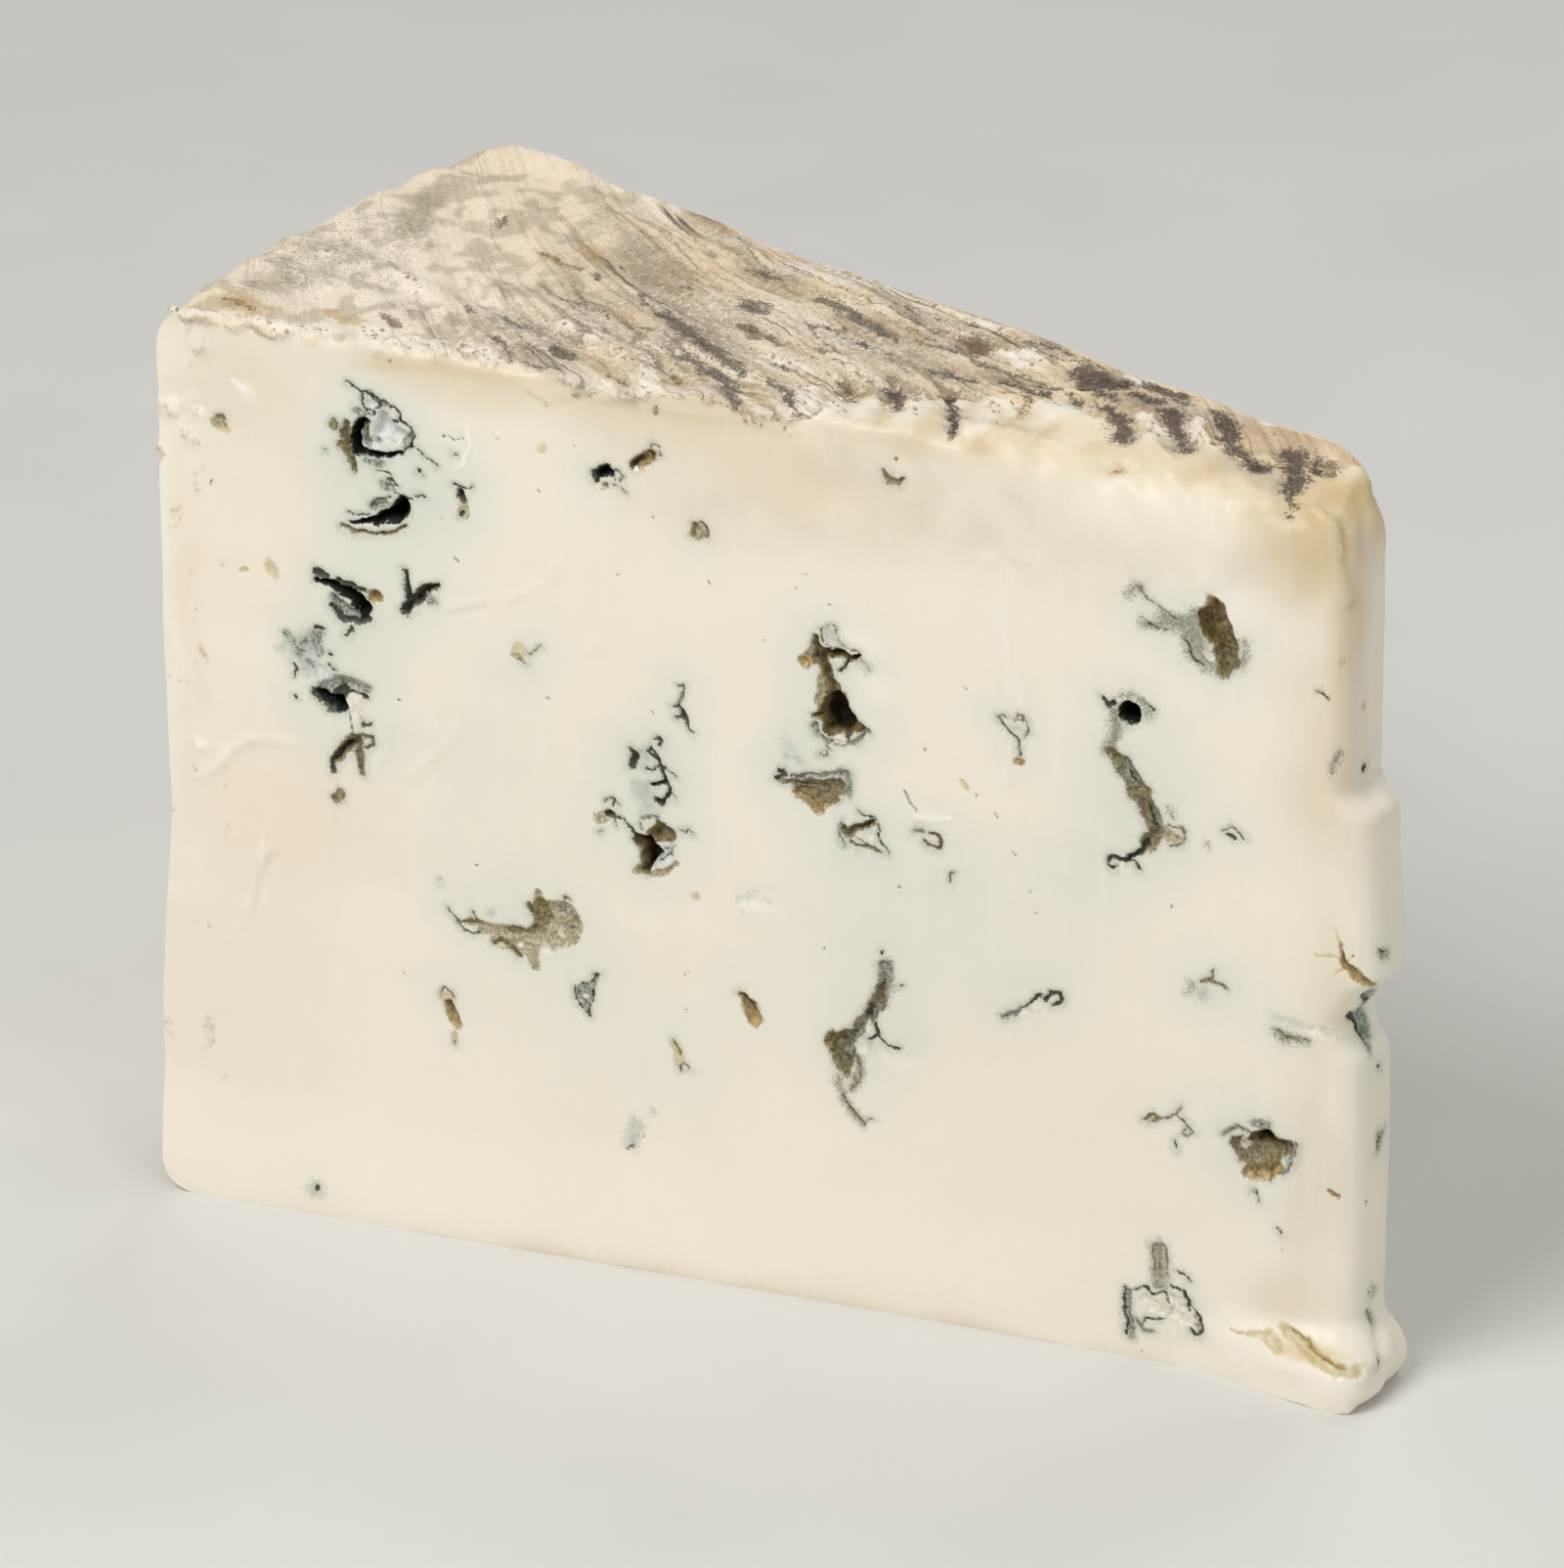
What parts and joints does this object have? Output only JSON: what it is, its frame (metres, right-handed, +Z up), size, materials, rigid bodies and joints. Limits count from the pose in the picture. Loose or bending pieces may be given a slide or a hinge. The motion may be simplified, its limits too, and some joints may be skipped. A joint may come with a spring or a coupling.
{
  "type": "cheese wedge",
  "caption": "Wedge of natural-rind blue cheese standing on its base rind, with a veined, pocketed cut face and a blunt tip.",
  "frame": {"origin": "middle of the wedge's bounding box, on the surface it stands on", "axes": "+X from the rim towards the blunt tip, the front cut face to -Y, +Z up"},
  "size_m": [0.1308, 0.0612, 0.0965],
  "materials": {
    "cheese": "satin ivory paste with a beige and grey natural rind"
  },
  "bodies": {
    "root": {"cheese_wedge": "cheese"}
  },
  "joints": []
}
